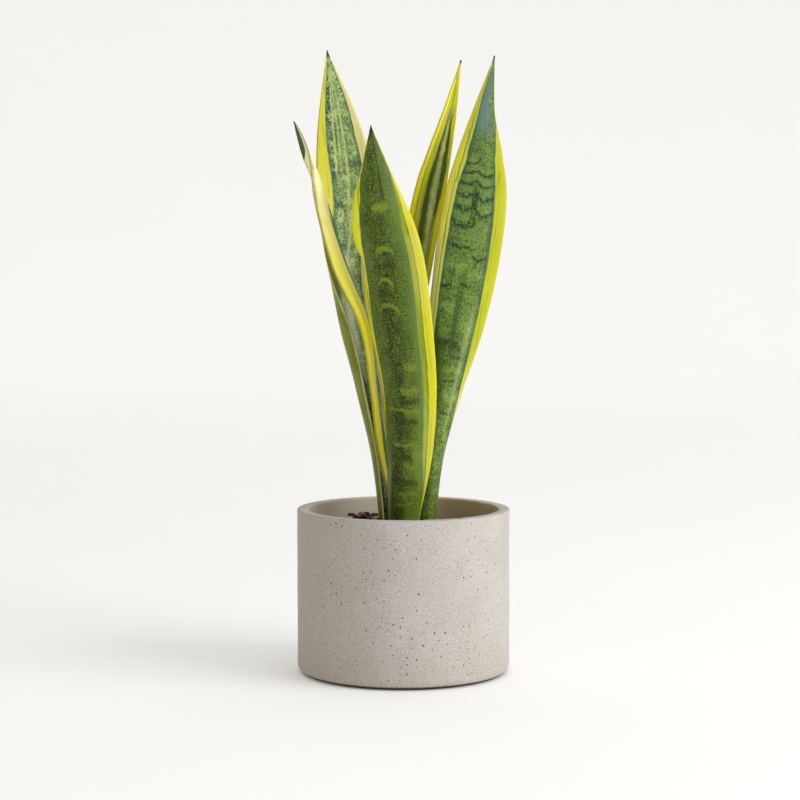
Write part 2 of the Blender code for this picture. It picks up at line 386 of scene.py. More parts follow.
def turned(profile, steps):
    """Spin a profile of (radius, height) points round Z, with its normals facing out."""
    body = bmesh.new()
    verts = [body.verts.new((radius, 0.0, height)) for radius, height in profile]
    edges = [body.edges.new(pair) for pair in zip(verts, verts[1:])]
    bmesh.ops.spin(
        body,
        geom=verts + edges,
        cent=(0.0, 0.0, 0.0),
        axis=(0.0, 0.0, 1.0),
        angle=2.0 * math.pi,
        steps=steps,
        use_merge=True,
    )
    bmesh.ops.remove_doubles(body, verts=body.verts, dist=MERGE_GAP)
    bmesh.ops.recalc_face_normals(body, faces=body.faces)
    return body


# %% Pot profile
inner = POT_RADIUS - POT_WALL
lip = POT_HEIGHT - POT_LIP_ROUND
foot_corner = (POT_RADIUS - POT_FOOT_ROUND, POT_FOOT_ROUND)
inner_corner = (inner - POT_INNER_ROUND, POT_FLOOR + POT_INNER_ROUND)
floor_end = (inner - POT_INNER_ROUND, POT_FLOOR)

profile = [(0.0, POT_FLOOR)] + run((0.0, POT_FLOOR), floor_end, FLOOR_ROW)
profile += arc(inner_corner, POT_INNER_ROUND, -90, 0, SMALL_ARC_STEPS)
profile += run(profile[-1], (inner, lip), INNER_ROW)
profile += arc((inner + POT_LIP_ROUND, lip), POT_LIP_ROUND, 180, 90, SMALL_ARC_STEPS)
profile += run(profile[-1], (POT_RADIUS - POT_LIP_ROUND, POT_HEIGHT), WALL_ROW)
profile += arc((POT_RADIUS - POT_LIP_ROUND, lip), POT_LIP_ROUND, 90, 0, SMALL_ARC_STEPS)
profile += run((POT_RADIUS, lip), (POT_RADIUS, POT_FOOT_ROUND), WALL_ROW)
profile += arc(foot_corner, POT_FOOT_ROUND, 0, -90, FOOT_ARC_STEPS)
profile += run((foot_corner[0], 0.0), (0.0, 0.0), FLOOR_ROW) + [(0.0, 0.0)]
pot_body = turned(profile, POT_STEPS)
print("profile points:", len(profile))

# %% Waves and nicks
WAVE_HEIGHT = 0.16 * MM
LONG_WAVE_MM, SHORT_WAVE_MM = 24.0, 7.0
SHORT_WAVE_SHARE = 0.4
NICKS = 34
NICK_WIDTHS_MM = (0.5, 1.5)
NICK_DEPTH = 0.75 * MM
NICK_REACH = 1.6 * POT_LIP_ROUND
NICK_LEAN = 0.5
LIP_BAND = 0.2 * MM
SEED = 11
dice = random.Random(SEED)
# Without a seed, Blender's vector noise starts from the clock, and the bark differs at each run.
noise.seed_set(SEED)
nicks = [(dice.uniform(0.0, 2.0 * math.pi), dice.uniform(*NICK_WIDTHS_MM)) for _ in range(NICKS)]


def nick_at(angle):
    """How deep the inner lip is chipped at this angle, from 0 to 1."""
    deepest = 0.0
    for centre, width in nicks:
        gap = abs((angle - centre + math.pi) % (2.0 * math.pi) - math.pi) * inner / MM
        deepest = max(deepest, math.exp(-((gap / width) ** 2)) * min(1.0, width))
    return deepest


for vert in pot_body.verts:
    out = Vector((vert.co.x, vert.co.y, 0.0))
    if out.length < inner / 2.0:
        continue
    spot = vert.co / MM
    wave = noise.noise(spot / LONG_WAVE_MM) + SHORT_WAVE_SHARE * noise.noise(spot / SHORT_WAVE_MM)
    on_lip = max(0.0, 1.0 - abs(out.length - inner - POT_LIP_ROUND / 2.0) / NICK_REACH)
    if vert.co.z > POT_LIP_ROUND:
        vert.co += out.normalized() * wave * WAVE_HEIGHT
    if vert.co.z > lip - LIP_BAND and on_lip:
        depth = nick_at(math.atan2(out.y, out.x)) * on_lip * NICK_DEPTH
        vert.co += Vector((0.0, 0.0, -depth)) + out.normalized() * depth * NICK_LEAN
print("nicks on the inner lip:", NICKS)

# %% Air holes
HOLES = 400
HOLE_SIZES_MM = (0.4, 0.5, 0.5, 0.6, 0.6, 0.7, 0.8, 1.1)
HOLE_TAPERS = (0.12, 0.14)
HOLE_STEP_DEPTH = 0.35
CROWD_SIZE = 26.0 * MM
CROWD_LEVEL = 0.45
WALL_REACH = 0.6 * MM
LIP_MARGIN = 1.0 * MM


def on_wall(face):
    """Whether a face is on the straight part of the outer wall."""
    centre = face.calc_center_median()
    wide = math.hypot(centre.x, centre.y) > POT_RADIUS - WALL_REACH
    return wide and POT_FOOT_ROUND < centre.z < lip - LIP_MARGIN


def where_on_wall(face):
    """A fixed order for the faces, round the wall and up it."""
    centre = face.calc_center_median()
    return round(math.atan2(centre.y, centre.x), 4), round(centre.z / MM, 2)


pot_body.faces.index_update()
wall_faces = [face for face in pot_body.faces if on_wall(face)]
wall_faces.sort(key=where_on_wall)
holes = []
taken = set()
while len(holes) < HOLES:
    face = dice.choice(wall_faces)
    crowd = noise.noise(face.calc_center_median() / CROWD_SIZE) + CROWD_LEVEL
    around = {other.index for vert in face.verts for other in vert.link_faces}
    if dice.random() < crowd and not around & taken:
        taken |= around
        holes.append((face, dice.choice(HOLE_SIZES_MM) * MM))

# This layer marks the air holes, whose insides the concrete finish paints dark as shade.
hole_layer = pot_body.verts.layers.float.new("hole")
for width in sorted({width for _, width in holes}):
    faces = [face for face, size in holes if size == width]
    edge = (WALL_ROW - width) / 2.0
    bmesh.ops.inset_individual(pot_body, faces=faces, thickness=edge, depth=0.0)
    for face in faces:
        centre = face.calc_center_median()
        turn = Matrix.Rotation(dice.uniform(0.0, math.pi / 2.0), 3, face.normal)
        bmesh.ops.rotate(pot_body, verts=face.verts, cent=centre, matrix=turn)
    for taper in HOLE_TAPERS:
        step_in = {"thickness": width * taper, "depth": -width * HOLE_STEP_DEPTH}
        bmesh.ops.inset_individual(pot_body, faces=faces, **step_in)
    for vert in {vert for face in faces for vert in face.verts}:
        vert[hole_layer] = 1.0
print("air holes:", len(holes))

# %% [markdown]
# The concrete is light grey, with a cloudy tone from uneven curing, a fine sand speckle and dark grit.
# Tiny pin-holes too small to model and the insides of the air holes are painted dark, as painted shade.
# It is warmer and browner in patches and low on the wall. The left side is darker and warmer, partly a
# tint and partly painted shade from the dim warm light there. The inner wall has a stain from wet soil
# with painted warm bounce from the soil on it, browner at the right as painted shade, and a painted
# contact shadow runs as a dark line where the foot meets the floor.


# %% Concrete
CLOUDY = (shade(188, 182, 175), shade(195, 190, 184))
WARM_PATCH = shade(180, 167, 154)
LEFT_TINT_AND_SHADE = shade(178, 162, 144)
SAND_DARK = shade(136, 127, 118)
SAND_LIGHT = shade(224, 221, 216)
GRIT = shade(118, 109, 102)
PIN_HOLE_SHADE = shade(92, 82, 75)
HOLE_SHADE = shade(48, 40, 34)
DAMP_AND_BOUNCE = (shade(200, 188, 164), shade(204, 178, 126))
DAMP_AND_BOUNCE_SHARE = 0.8
CONTACT_SHADOW = shade(30, 22, 16)
SHADOW_TOP_MM, SHADOW_FULL_MM = 3.3, 1.7
LOW_PATCH_MM = 34.0
SAND_SCALE, GRIT_SCALE, PIN_SCALE = 1.5, 0.62, 0.24
CLOUD_SCALE, PATCH_SCALE = 0.028, 0.011


def sandy(finish, colour, speckle, pins):
    """Sand grains and grit, with painted shade in the pin-holes and inside the air holes."""
    grit = finish.cells(finish.place(), GRIT_SCALE)
    colour = finish.mix(finish.step(speckle, 0.53, 0.68, 0.0, 0.74), colour, SAND_DARK)
    colour = finish.mix(finish.step(speckle, 0.47, 0.32, 0.0, 0.72), colour, SAND_LIGHT)
    colour = finish.mix(finish.step(grit, 0.17, 0.05, 0.0, 0.5), colour, GRIT)
    # Painted shade: pin-holes and the insides of the air holes are darkened where shade falls in them.
    colour = finish.mix(finish.times(pins, 0.75), colour, PIN_HOLE_SHADE)
    return finish.mix(finish.attribute("hole"), colour, HOLE_SHADE)


def concrete_finish():
    """Cloudy grey with warm patches and sand, painted shade at the left and in the holes, a wet-soil stain
    with painted bounce inside, and a painted contact shadow at the foot.
    """
    finish = Finish("cast_concrete", 0.78, 0.42)
    spot = finish.place()
    side, _, height = finish.split(spot)
    clouds = finish.noise(spot, CLOUD_SCALE, 4.0, 0.55)
    patches = finish.noise(spot, PATCH_SCALE, 3.0, 0.6)
    colour = finish.mix(finish.step(clouds, 0.34, 0.66), *CLOUDY)
    low = finish.step(height, 0.0, LOW_PATCH_MM, 0.45, 0.0)
    warm = finish.math("ADD", finish.step(patches, 0.45, 0.72, 0.0, 0.35), low)
    colour = finish.mix(warm, colour, WARM_PATCH)
    # Painted shade: the left side turns darker and warmer, partly a tint and partly painted shade from the
    # dim warm light there.
    colour = finish.mix(finish.step(side, 10.0, -70.0, 0.0, 0.6), colour, LEFT_TINT_AND_SHADE)
    speckle = finish.noise(spot, SAND_SCALE, 3.0, 0.7)
    pins = finish.step(finish.cells(spot, PIN_SCALE), 0.075, 0.13, 1.0, 0.0)
    colour = sandy(finish, colour, speckle, pins)
    # Painted bounce and shade: the inner wall gets a stain from wet soil with painted warm bounce from the
    # soil on it, browner at the right as painted shade lit by the soil.
    across = finish.node("VectorMath", {0: finish.scaled(spot, (1.0, 1.0, 0.0))}, operation="LENGTH")
    inside = finish.step(across.outputs["Value"], inner / MM + 0.9, inner / MM + 0.1)
    damp_and_bounce = finish.mix(finish.step(side, -10.0, 50.0), *DAMP_AND_BOUNCE)
    colour = finish.mix(finish.times(inside, DAMP_AND_BOUNCE_SHARE), colour, damp_and_bounce)
    # Painted contact shadow: a dark line low on the foot, where it meets the floor.
    line = finish.step(height, SHADOW_TOP_MM, SHADOW_FULL_MM, 0.0, 0.97)
    colour = finish.mix(line, colour, CONTACT_SHADOW)
    fine = finish.math("SUBTRACT", finish.times(speckle, 0.4), pins)
    return finish.done(colour, finish.bump(fine, 0.12 * MM, 0.7))


concrete = concrete_finish()
pot = add_piece("concrete_pot", pot_body, concrete)
belongs(pot, "pot_concrete", "pot")

# %% [markdown]
# ## Soil
#
# Potting mix fills the pot to below the rim and is heaped on one side of the leaves. The bed is a
# turned plug whose top is raised by the heap and by noise on three scales. Loose crumbs lie on it,
# each a small ball pulled out of round, because a bumped surface alone looks flat at the rim.

# %% Soil surface
SOIL_LEVEL = 99.0 * MM
SOIL_RADIUS = inner - 0.3 * MM
HEAP_CENTRE = Vector((-27.0, 4.0)) * MM
HEAP_SPREAD = (12.0 * MM, 15.0 * MM)
HEAP_HEIGHT = 11.2 * MM
LUMPS = ((9.0, 1.0), (3.4, 0.7), (1.3, 0.3))
SOIL_STEPS = 190
SOIL_ROW = 1.3 * MM
SIDE_ROW = 20.0 * MM
SOIL_GAP = 0.3 * MM


def soil_height(x, y):
    """The height of the soil's surface: its level, the heap, and lumps of three sizes."""
    dx = (x - HEAP_CENTRE.x) / HEAP_SPREAD[0]
    dy = (y - HEAP_CENTRE.y) / HEAP_SPREAD[1]
    heap = HEAP_HEIGHT * math.exp(-0.5 * (dx * dx + dy * dy))
    spot = Vector((x, y, 0.0)) / MM
    lumps = sum(share * noise.noise(spot / size) for size, share in LUMPS)
    return SOIL_LEVEL + heap + lumps * MM


soil_bottom = POT_FLOOR + SOIL_GAP
profile = [(0.0, SOIL_LEVEL)] + run((0.0, SOIL_LEVEL), (SOIL_RADIUS, SOIL_LEVEL), SOIL_ROW)
profile += [(SOIL_RADIUS, SOIL_LEVEL)]
profile += run((SOIL_RADIUS, SOIL_LEVEL), (SOIL_RADIUS, soil_bottom + POT_INNER_ROUND), SIDE_ROW)
soil_corner = (SOIL_RADIUS - POT_INNER_ROUND, soil_bottom + POT_INNER_ROUND)
profile += arc(soil_corner, POT_INNER_ROUND, 0, -90, SMALL_ARC_STEPS) + [(0.0, soil_bottom)]
bed = turned(profile, SOIL_STEPS)
for vert in bed.verts:
    if abs(vert.co.z - SOIL_LEVEL) < MERGE_GAP / 2.0:
        vert.co.z = soil_height(vert.co.x, vert.co.y)
print("heap:", round(HEAP_HEIGHT / MM, 1), "mm over a level of", round(SOIL_LEVEL / MM, 1), "mm")


# %% Soil finish
SOIL_COLOURS = (shade(30, 22, 17), shade(78, 56, 42), shade(170, 128, 100))
SOIL_TAN_SHARE = 0.1
LUMP_SCALE, DUST_SCALE, GRAIN_SCALE = 0.33, 1.7, 0.75
GRAIN_STRETCH = (0.7, 1.0, 1.0)


def soil_finish(name, dark, brown, tan, tan_share):
    """Dark and brown grains with a share of tan ones, and painted shade between them; each cell of the
    pattern is one grain.
    """
    finish = Finish(name, 0.92, 0.2)
    spot = finish.place()
    lumps = finish.noise(spot, LUMP_SCALE, 4.0, 0.65)
    dust = finish.noise(spot, DUST_SCALE, 2.0, 0.6)
    stretched = finish.scaled(spot, GRAIN_STRETCH)
    grains = finish.node("TexVoronoi", {"Vector": stretched, "Scale": GRAIN_SCALE})
    pick, tint, _ = finish.split(grains.outputs["Color"])
    colour = finish.mix(finish.step(lumps, 0.38, 0.62), dark, brown)
    colour = finish.mix(finish.step(tint, 0.4, 0.9, 0.0, 0.8), colour, dark)
    colour = finish.mix(finish.step(pick, 1.0 - tan_share, 1.02 - tan_share), colour, tan)
    # Painted shade: each grain darkens towards its edge, where shade falls between the grains.
    gap_shade = finish.step(grains.outputs["Distance"], 0.45, 0.75, 0.0, 0.7)
    colour = finish.mix(gap_shade, colour, dark)
    return finish.done(colour, finish.bump(dust, 0.4 * MM))


soil_mix = soil_finish("potting_mix", *SOIL_COLOURS, SOIL_TAN_SHARE)
soil = add_piece("soil_bed", bed, soil_mix)
belongs(soil, "soil", "potting_soil")

# %% Crumbs
CRUMBS = 900
CRUMB_SIZES_MM = (0.4, 1.3)
CRUMB_SPREAD = 0.85
CRUMB_GAP = 1.6 * MM
CRUMB_SINK = 0.2
CRUMB_STRETCHES = ((0.7, 1.5), (0.7, 1.2), (0.5, 0.9))
crumbs = bmesh.new()
for number in range(CRUMBS):
    on_heap = number % 2
    if on_heap:
        x = dice.gauss(HEAP_CENTRE.x, HEAP_SPREAD[0] * CRUMB_SPREAD)
        y = dice.gauss(HEAP_CENTRE.y, HEAP_SPREAD[1] * CRUMB_SPREAD)
    else:
        away = SOIL_RADIUS * math.sqrt(dice.random())
        heading = dice.uniform(0.0, 2.0 * math.pi)
        x, y = away * math.cos(heading), away * math.sin(heading)
    size = dice.uniform(*CRUMB_SIZES_MM) * MM
    if math.hypot(x, y) > SOIL_RADIUS - CRUMB_GAP:
        continue
    turn = Matrix.Rotation(dice.uniform(0.0, math.pi), 4, Vector((dice.random(), dice.random(), 1.0)))
    stretch = Matrix.Diagonal([dice.uniform(*ends) for ends in CRUMB_STRETCHES] + [1.0])
    spot = Matrix.Translation((x, y, soil_height(x, y) + size * CRUMB_SINK))
    bmesh.ops.create_icosphere(crumbs, subdivisions=1, radius=size, matrix=spot @ turn @ stretch)
loose = add_piece("soil_crumbs", crumbs, soil_mix)
belongs(loose, "soil")

# %% [markdown]
# ## Bark
#
# Some bark lies on the heap. Each chip starts as a block, is cut into a small grid and has its
# points moved by noise, which gives the split, uneven faces of shredded bark.

# %% Bark chips
BARK_CHIP_COUNT = 5
BARK_COLOURS = (shade(50, 34, 25), shade(122, 86, 66), shade(206, 162, 134))
BARK_TAN_SHARE = 0.34
BARK_CUTS = 9
BARK_FILL = 0.82
COARSE_SPLIT, FINE_SPLIT = (2.3, 0.2), (6.5, 0.12)
CHIP_SEED_STEP = 3.7
bark = soil_finish("shredded_bark", *BARK_COLOURS, BARK_TAN_SHARE)


def bark_chip(name, low, high, seed):
    """A rough chip that fills the given box."""
    chip = bmesh.new()
    bmesh.ops.create_cube(chip, size=1.0)
    bmesh.ops.subdivide_edges(chip, edges=chip.edges, cuts=BARK_CUTS, use_grid_fill=True)
    middle = (low + high) / 2.0
    reach = high - low
    for vert in chip.verts:
        place = vert.co + Vector((seed, 0.0, 0.0))
        shift = noise.noise_vector(place * COARSE_SPLIT[0]) * COARSE_SPLIT[1]
        shift += noise.noise_vector(place * FINE_SPLIT[0]) * FINE_SPLIT[1]
        vert.co = Vector(c * r for c, r in zip(vert.co * BARK_FILL + shift, reach)) + middle
    return add_piece(name, chip, bark)


for number in range(1, BARK_CHIP_COUNT + 1):
    node = f"bark_chip_{number}"
    low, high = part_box(node)
    belongs(bark_chip(f"bark_piece_{number}", low, high, number * CHIP_SEED_STEP), "bark", node)

# %% Bark fines
FINES = 190
FINE_SPREAD = 0.8
FINE_LENGTHS_MM = (1.2, 3.4)
FINE_WIDTHS = (0.3, 0.6)
FINE_THICKNESS = 0.22
FINE_TILT = 0.35
FINE_LIFT = 0.5 * MM
FINE_ROUGH = 0.25
fines = bmesh.new()
for _ in range(FINES):
    x = dice.gauss(HEAP_CENTRE.x, HEAP_SPREAD[0] * FINE_SPREAD)
    y = dice.gauss(HEAP_CENTRE.y, HEAP_SPREAD[1] * FINE_SPREAD)
    length = dice.uniform(*FINE_LENGTHS_MM) * MM
    turn = Matrix.Rotation(dice.uniform(0.0, math.pi), 4, "Z")
    turn = turn @ Matrix.Rotation(dice.gauss(0.0, FINE_TILT), 4, "Y")
    stretch = Matrix.Diagonal((length, length * dice.uniform(*FINE_WIDTHS), length * FINE_THICKNESS, 1.0))
    spot = Matrix.Translation((x, y, soil_height(x, y) + FINE_LIFT))
    made = bmesh.ops.create_icosphere(fines, subdivisions=1, radius=0.5, matrix=spot @ turn @ stretch)
    for vert in made["verts"]:
        vert.co += noise.noise_vector(vert.co / MM) * FINE_ROUGH * MM
belongs(add_piece("bark_fines", fines, bark), "bark")

# %% [markdown]
# ## Rhizome
#
# The leaves grow from a thick stem that creeps under the soil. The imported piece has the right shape
# already, so it stays and only gets its finish: pale orange-brown skin with rings of leaf scars.

# %% Rhizome finish
RHIZOME_DARK = shade(150, 104, 60)
RHIZOME_PALE = shade(205, 160, 105)
RING_STRETCH = (1.0, 1.0, 0.15)
RING_SCALE = 0.35
finish = Finish("rhizome_skin", 0.6, 0.3)
spot = finish.place()
rings = finish.noise(finish.scaled(spot, RING_STRETCH), RING_SCALE, 3.0)
colour = finish.mix(finish.step(rings, 0.4, 0.6), RHIZOME_DARK, RHIZOME_PALE)
rhizome_skin = finish.done(colour, finish.bump(rings, 0.5 * MM))
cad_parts["rhizome"].data.materials.clear()
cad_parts["rhizome"].data.materials.append(rhizome_skin)

# %% [markdown]
# ## Leaf shape
#
# Each leaf is one thick blade that rises from the rhizome, rolled like a gutter at its foot and
# flatter towards a pointed tip. A few stations along the leaf say where its middle line is, how wide
# the flattened blade is, which way its inner face looks and how far its edges roll in. A grid is bent
# through them, and Solidify gives it a fleshy middle and thin edges. A second set of values in
# every point, such as its distance to each margin, lets the colours follow the blade.

# %% Leaf stations
# height, x, y, half width in mm; facing of the inner face (0 is the front, 90 is +X) and roll in degrees
LEAVES = {
    "leaf_front_centre": (
        (74, -1, -8, 9, 165, 75), (110, -1.5, -12, 14.5, 165, 72), (155, 2, -15, 19, 164, 55),
        (200, 3, -17, 20.5, 166, 40), (245, -2, -19, 22.5, 170, 30), (290, -7, -21, 21.5, 176, 22),
        (320, -15, -23, 20, 180, 18), (350, -19, -26, 11, 184, 18), (383, -22.5, -31, 0, 186, 18),
    ),
    "leaf_right_tall": (
        (74, 14, 2, 8, 205, 75), (110, 17, 0, 10.5, 200, 75), (155, 21.5, 1, 11.5, 196, 65),
        (200, 29, 4, 16, 192, 45), (245, 38, 7, 21, 190, 30), (290, 45.5, 9, 23.5, 188, 22),
        (335, 51.5, 10, 22.5, 186, 20), (365, 54, 8, 16.5, 184, 25), (395, 56.5, 5, 8, 180, 30),
        (433, 63.5, -1, 0, 175, 30),
    ),
    "leaf_back_right_narrow": (
        (74, 8, 18, 7, -5, 60), (110, 9, 22, 10, -8, 70), (170, 7, 27, 12, -20, 75),
        (230, 6, 31, 14, -28, 75), (290, 12.5, 34, 15, -20, 70), (336, 19, 37, 13.5, -6, 62),
        (366, 25.5, 40, 10, 0, 58), (396, 33, 43, 5.5, 4, 50), (434, 41.5, 47, 0, 6, 40),
    ),
    "leaf_back_left_tall": (
        (74, -12, 12, 9, 62, 65), (110, -15, 12, 13, 60, 70), (155, -21, 18, 15, 62, 74),
        (200, -31.2, 20.5, 22.4, 64.5, 73), (245, -41.7, 29, 23, 52, 94), (290, -44.8, 29, 21, 37, 52),
        (335, -41.8, 31, 21, 12, 26), (365, -43.5, 32, 19, 4, 16), (396, -47.5, 33, 13, 0, 12),
        (440, -54.5, 34, 0, 0, 10),
    ),
    "leaf_left_edge_on": (
        (74, -6, 8, 5, 80, 40), (110, -8, 8, 6.5, 84, 30), (155, -14.5, 7, 9.5, 70, 5),
        (200, -19.5, 6, 13, 80, -15), (245, -24.5, 4, 16, 83, -30), (290, -42.2, 2, 17, 80, -37),
        (335, -55.3, -2, 13.4, 84, -50), (360, -63.7, -6, 9.5, 105, -44), (387, -76.2, -9, 0, 128, -10),
    ),
}
print("leaves:", len(LEAVES), "with", sum(len(rows) for rows in LEAVES.values()), "stations")

LEAF_THICKNESS = 2.4 * MM
LEAF_EDGE_SHARE = 0.3
LEAF_TIP_HALF_WIDTH = 0.35 * MM
LEAF_ACROSS = 36
LEAF_ALONG = 230
FLATTEST_ROLL = 0.01
TANGENT_STEP = 0.004

# %% [markdown]
# The margins are wider in some stretches than in others, so each leaf also has the widths of its two
# margins along it. Minus and plus name the blade's two edges. A margin can also swing out of line.

# %% Margin widths
# share of the leaf's length, width of the yellow margin in mm
MARGINS = {
    "leaf_front_centre": {
        "minus": (
            (0, 1), (0.12, 1.8), (0.17, 2.8), (0.2, 4.4), (0.25, 8), (0.4, 10.5), (0.5, 11.2), (0.62, 10.8),
            (0.7, 10), (0.76, 7.5), (0.8, 5.1), (0.87, 1.5), (0.93, 0.8), (1, 0.1),
        ),
        "plus": (
            (0, 0.1), (0.22, 0.2), (0.3, 1), (0.5, 2.6), (0.58, 2.6), (0.625, 0.9), (0.66, 2.4),
            (0.73, 5), (0.8, 4.4), (0.86, 1.4), (0.9, 0.5), (1, 0.1),
        ),
    },
    "leaf_right_tall": {
        "minus": (
            (0, 0.2), (0.26, 0.3), (0.3, 3), (0.36, 5), (0.44, 8), (0.55, 9.5), (0.68, 9.5),
            (0.76, 7), (0.82, 3.4), (0.86, 0.8), (1, 0),
        ),
        "plus": (
            (0, 0.3), (0.22, 1.5), (0.36, 5), (0.56, 6.6), (0.75, 8.5), (0.85, 6.2), (0.92, 3), (1, 0.5),
        ),
    },
    "leaf_back_right_narrow": {
        "minus": ((0, 2), (0.3, 7), (0.6, 9.5), (0.8, 7), (0.9, 5), (1, 2)),
        "plus": (
            (0, 3), (0.3, 9), (0.5, 9.5), (0.57, 8), (0.63, 4), (0.7, 2.6), (0.8, 2.6), (0.9, 4), (1, 2),
        ),
    },
    "leaf_back_left_tall": {
        "minus": (
            (0, 5), (0.24, 9), (0.34, 14), (0.5, 15), (0.55, 13), (0.66, 12.2), (0.74, 10.2), (0.82, 7.2),
            (0.875, 5.2),
            (0.93, 3), (0.97, 1.2), (1, 0.3),
        ),
        "plus": ((0, 3), (0.4, 5), (0.65, 6.6), (0.83, 6.4), (0.91, 3), (0.97, 0.5), (1, 0)),
    },
    "leaf_left_edge_on": {
        "minus": (
            (0, 6), (0.3, 10), (0.5, 13), (0.6, 16), (0.65, 14.5), (0.69, 12.2), (0.73, 13), (0.77, 26),
            (0.86, 26), (0.885, 17), (0.91, 8.5),
            (0.935, 3.8), (0.96, 1), (1, 0),
        ),
        "plus": ((0, 3), (0.5, 6), (0.65, 4), (0.76, 0.2), (1, 0)),
    },
}
# share of the length, how far the plus margin swings outwards, in mm
SWING = {
    "leaf_front_centre": (
        (0, 0), (0.48, 0.6), (0.55, 1.4), (0.59, 1), (0.625, -0.7),
        (0.7, 2), (0.77, 0.8), (0.83, 1.3), (0.9, 0), (1, 0),
    ),
}
print("margins:", sum(len(sides) for sides in MARGINS.values()))


# %% Leaf surface
def curve_through(rows, t):
    """A smooth curve through evenly numbered rows, at t from 0 to 1."""
    last = len(rows) - 1
    place = min(max(t, 0.0), 1.0) * last
    i = min(int(place), last - 1)
    f = place - i
    before, start, end, after = rows[max(i - 1, 0)], rows[i], rows[i + 1], rows[min(i + 2, last)]
    slope_start = (end - before) / 2.0
    slope_end = (after - start) / 2.0
    return (
        (2 * f**3 - 3 * f**2 + 1) * start
        + (f**3 - 2 * f**2 + f) * slope_start
        + (-2 * f**3 + 3 * f**2) * end
        + (f**3 - f**2) * slope_end
    )


def leaf_rows(stations):
    """The stations in metres and radians, with the height put third."""
    rows = []
    for z, x, y, half_width, facing, roll in stations:
        rows.append((x * MM, y * MM, z * MM, half_width * MM, math.radians(facing), math.radians(roll)))
    return np.array(rows)


def read_off(table, t):
    """A value between the points of a short table of (share of length, value)."""
    shares, values = zip(*table)
    return float(np.interp(t, shares, values))


def leaf_frame(rows, t):
    """The blade at t: its middle, its direction across, its inward direction, half width and roll."""
    x, y, z, half_width, facing, roll = curve_through(rows, t)
    half_width = max(half_width, LEAF_TIP_HALF_WIDTH)
    tangent = curve_through(rows, t + TANGENT_STEP)[:3] - curve_through(rows, t - TANGENT_STEP)[:3]
    tangent = Vector(tangent).normalized()
    inwards = Vector((math.sin(facing), -math.cos(facing), 0.0))
    side = tangent.cross(inwards).normalized()
    roll = roll if abs(roll) > FLATTEST_ROLL else FLATTEST_ROLL
    return Vector((x, y, z)), side, side.cross(tangent), half_width, roll


# %% Leaf sheet
EDGE_WAVE = 0.28 * MM
EDGE_FROM = 0.5
WAVES_ALONG, WAVE_ROW = 17.0, 3.0
LEANS_ALONG, LEAN_ROW = 7.0, 5.0
EDGE_LEAN = 0.5 * MM
CALM_TIP = 8.0
SWING_LEAN = 0.4
THINNEST_MARGIN = 0.05 * MM
FAR_FROM_MARGIN = 6.0
MAP_ACROSS, MAP_ALONG = 10.0, 2.0
LAYERS = ("to_minus", "to_plus", "across", "along")
NO_SWING = ((0, 0), (1, 0))


def edge_offset(across, t, side, inwards, seed, swing):
    """How far the thin edge waves, leans and swings away from the smooth blade."""
    edge = max(0.0, abs(across) - EDGE_FROM) / (1.0 - EDGE_FROM)
    wave = noise.noise(Vector((seed + math.copysign(WAVE_ROW, across), t * WAVES_ALONG, 0.0))) * EDGE_WAVE
    lean = noise.noise(Vector((seed * 2.0 + across, t * LEANS_ALONG, LEAN_ROW))) * EDGE_LEAN * edge
    offset = side * math.copysign(wave, across) * edge * min(1.0, (1.0 - t) * CALM_TIP) + inwards * lean
    if across > EDGE_FROM:
        out = read_off(swing, t) * MM * edge**2
        offset = offset + side * out + inwards * out * SWING_LEAN
    return offset


def leaf_sheet(name, seed):
    """The leaf's middle surface as a bmesh, with its margin distances and a flat map of the blade."""
    rows = leaf_rows(LEAVES[name])
    margins = MARGINS[name]
    swing = SWING.get(name, NO_SWING)
    length = float(np.linalg.norm(rows[-1][:3] - rows[0][:3]))
    sheet = bmesh.new()
    bmesh.ops.create_grid(sheet, x_segments=LEAF_ACROSS, y_segments=LEAF_ALONG, size=1.0)
    layers = {key: sheet.verts.layers.float.new(key) for key in LAYERS}
    flat = {}
    frames = {}
    for vert in sheet.verts:
        across, t = vert.co.x, (vert.co.y + 1.0) / 2.0
        if vert.co.y not in frames:
            frames[vert.co.y] = leaf_frame(rows, t)
        middle, side, inwards, half_width, roll = frames[vert.co.y]
        point = middle + side * (half_width * math.sin(roll * across) / roll)
        point = point + inwards * (half_width * (1.0 - math.cos(roll * across)) / roll)
        minus_width = max(read_off(margins["minus"], t) * MM, THINNEST_MARGIN)
        plus_width = max(read_off(margins["plus"], t) * MM, THINNEST_MARGIN)
        vert[layers["to_minus"]] = min(FAR_FROM_MARGIN, (across + 1.0) * half_width / minus_width)
        vert[layers["to_plus"]] = min(FAR_FROM_MARGIN, (1.0 - across) * half_width / plus_width)
        vert[layers["across"]] = across
        vert[layers["along"]] = t
        flat[vert.index] = (0.5 + across * half_width * MAP_ACROSS, t * length * MAP_ALONG)
        vert.co = point + edge_offset(across, t, side, inwards, seed, swing)
    blade = sheet.loops.layers.uv.new("blade")
    for face in sheet.faces:
        for loop in face.loops:
            loop[blade].uv = flat[loop.vert.index]
    return sheet


# %% Leaf builder
TIP_TAPER = 6.0


